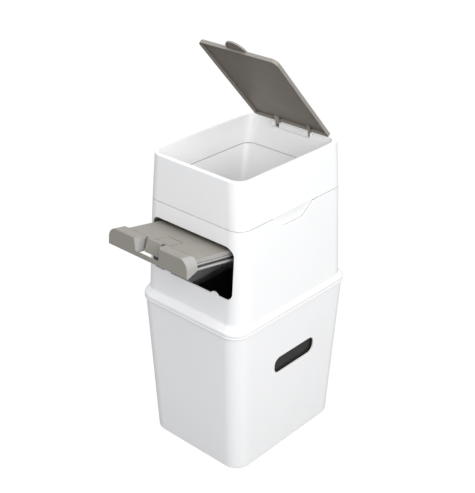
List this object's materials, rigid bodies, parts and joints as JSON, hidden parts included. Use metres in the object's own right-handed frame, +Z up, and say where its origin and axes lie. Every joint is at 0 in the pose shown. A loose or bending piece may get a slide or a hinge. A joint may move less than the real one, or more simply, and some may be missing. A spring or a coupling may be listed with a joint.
{
  "type": "litter disposal pail",
  "caption": "Litter disposal pail: tapered bucket with hand holes, housing with an inclined sliding floor, mouth collar with a tilting lid.",
  "frame": {"origin": "centre of the bucket's foot on the floor", "axes": "+Z up, the drawer and window face -Y, the lid's hinge is at +Y, +X is the right-hand side"},
  "size_m": [0.236, 0.3939, 0.7478],
  "materials": {
    "white_pp": "satin moulded polypropylene",
    "taupe_abs": "fine matt moulded ABS",
    "charcoal_abs": "matt moulded ABS",
    "seal_rubber": "soft moulded rubber",
    "zinc_steel": "zinc plated",
    "pin_steel": "drawn steel rod"
  },
  "bodies": {
    "root": {"bucket": "white_pp", "inner_bin": "charcoal_abs", "bag_ring": "charcoal_abs"},
    "housing": {"housing": "white_pp", "drawer_frame": "charcoal_abs", "guide_rail_left": "charcoal_abs", "guide_rail_right": "charcoal_abs", "frame_screws": "zinc_steel", "rail_screws": "zinc_steel", "hopper": "white_pp", "throat_seal": "seal_rubber"},
    "collar": {"collar": "white_pp", "hinge_bracket": "white_pp", "hinge_pin": "pin_steel", "bracket_screws": "zinc_steel"},
    "lid": {"lid": "taupe_abs", "hinge_bush_left": "charcoal_abs", "hinge_bush_right": "charcoal_abs"},
    "drawer": {"drawer_panel": "taupe_abs", "runner_left": "taupe_abs", "runner_right": "taupe_abs", "runner_screws": "zinc_steel"},
    "latch": {"latch_tongue": "taupe_abs"}
  },
  "joints": [
    {"name": "housing_lift", "type": "slide", "parent": "root", "child": "housing", "axis": [0, 0, 1], "range_m": [0, 0.08]},
    {"name": "collar_lift", "type": "slide", "parent": "housing", "child": "collar", "axis": [0, 0, 1], "range_m": [0, 0.08]},
    {"name": "lid_hinge", "type": "hinge", "parent": "collar", "child": "lid", "pos_m": [0, 0.1215, 0.5563], "axis": [-1, 0, 0], "range_deg": [-48, 60]},
    {"name": "drawer_slide", "type": "slide", "parent": "housing", "child": "drawer", "axis": [0, 0.9842, -0.1771], "range_m": [0, 0.101]},
    {"name": "latch_flex", "type": "hinge", "parent": "drawer", "child": "latch", "pos_m": [0, -0.17476, 0.4446], "axis": [1, 0, 0], "range_deg": [0, 5], "stiffness_Nm_per_rad": 1.2, "springref_deg": -2.86}
  ]
}
